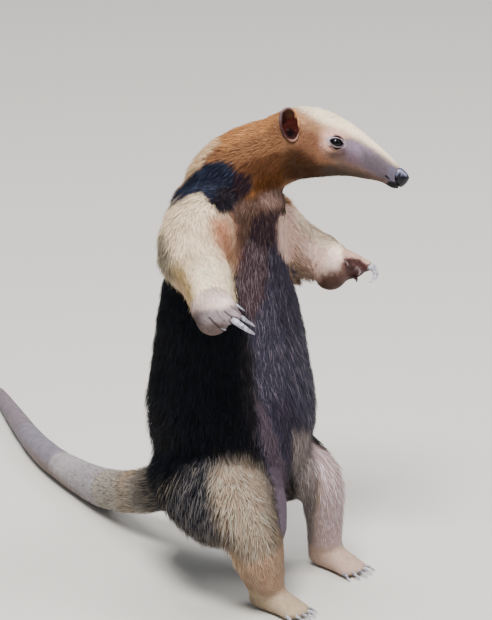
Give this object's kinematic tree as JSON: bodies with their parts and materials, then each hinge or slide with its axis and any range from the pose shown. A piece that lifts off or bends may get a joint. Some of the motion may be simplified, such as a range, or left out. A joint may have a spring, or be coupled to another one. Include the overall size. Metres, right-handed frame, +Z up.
{
  "type": "southern tamandua",
  "caption": "Life-size still model of a collared anteater rearing up on its hind legs, its tail laid out behind as a prop.",
  "frame": {"origin": "on the floor, under the middle of the bounding box", "axes": "+Z up, -Y the way the animal faces, +X its left, +Y along the tail, which is the longest way"},
  "size_m": [0.2858, 0.7374, 0.5132],
  "materials": {
    "golden_coat": "short dense golden-brown fur",
    "black_coat": "short glossy black fur",
    "cream_coat": "short dense cream fur",
    "tawny_coat": "grizzled tan and black fur",
    "bare_skin": "greyish pink skin with sparse hairs",
    "ear_skin": "thin dark skin with a pale rim",
    "eye": "wet and black",
    "nose_skin": "moist blue-black skin",
    "horn": "pale horn with a soft sheen"
  },
  "bodies": {
    "root": {"head": "golden_coat", "neck": "golden_coat", "torso": "black_coat", "upper_arm_right": "cream_coat", "forearm_right": "cream_coat", "hand_right": "bare_skin", "upper_arm_left": "cream_coat", "forearm_left": "cream_coat", "hand_left": "bare_skin", "thigh_right": "tawny_coat", "shank_right": "tawny_coat", "foot_right": "tawny_coat", "thigh_left": "tawny_coat", "shank_left": "tawny_coat", "foot_left": "tawny_coat", "tail_1": "cream_coat", "tail_2": "cream_coat", "tail_3": "cream_coat", "tail_4": "cream_coat", "eye_right": "eye", "eye_left": "eye", "ear_right": "ear_skin", "ear_left": "ear_skin", "nose": "nose_skin", "claw_1_right": "horn", "claw_2_right": "horn", "claw_3_right": "horn", "claw_4_right": "horn", "toe_claw_1_right": "horn", "toe_claw_2_right": "horn", "toe_claw_3_right": "horn", "toe_claw_4_right": "horn", "toe_claw_5_right": "horn", "claw_1_left": "horn", "claw_2_left": "horn", "claw_3_left": "horn", "claw_4_left": "horn", "toe_claw_1_left": "horn", "toe_claw_2_left": "horn", "toe_claw_3_left": "horn", "toe_claw_4_left": "horn", "toe_claw_5_left": "horn"}
  },
  "joints": []
}
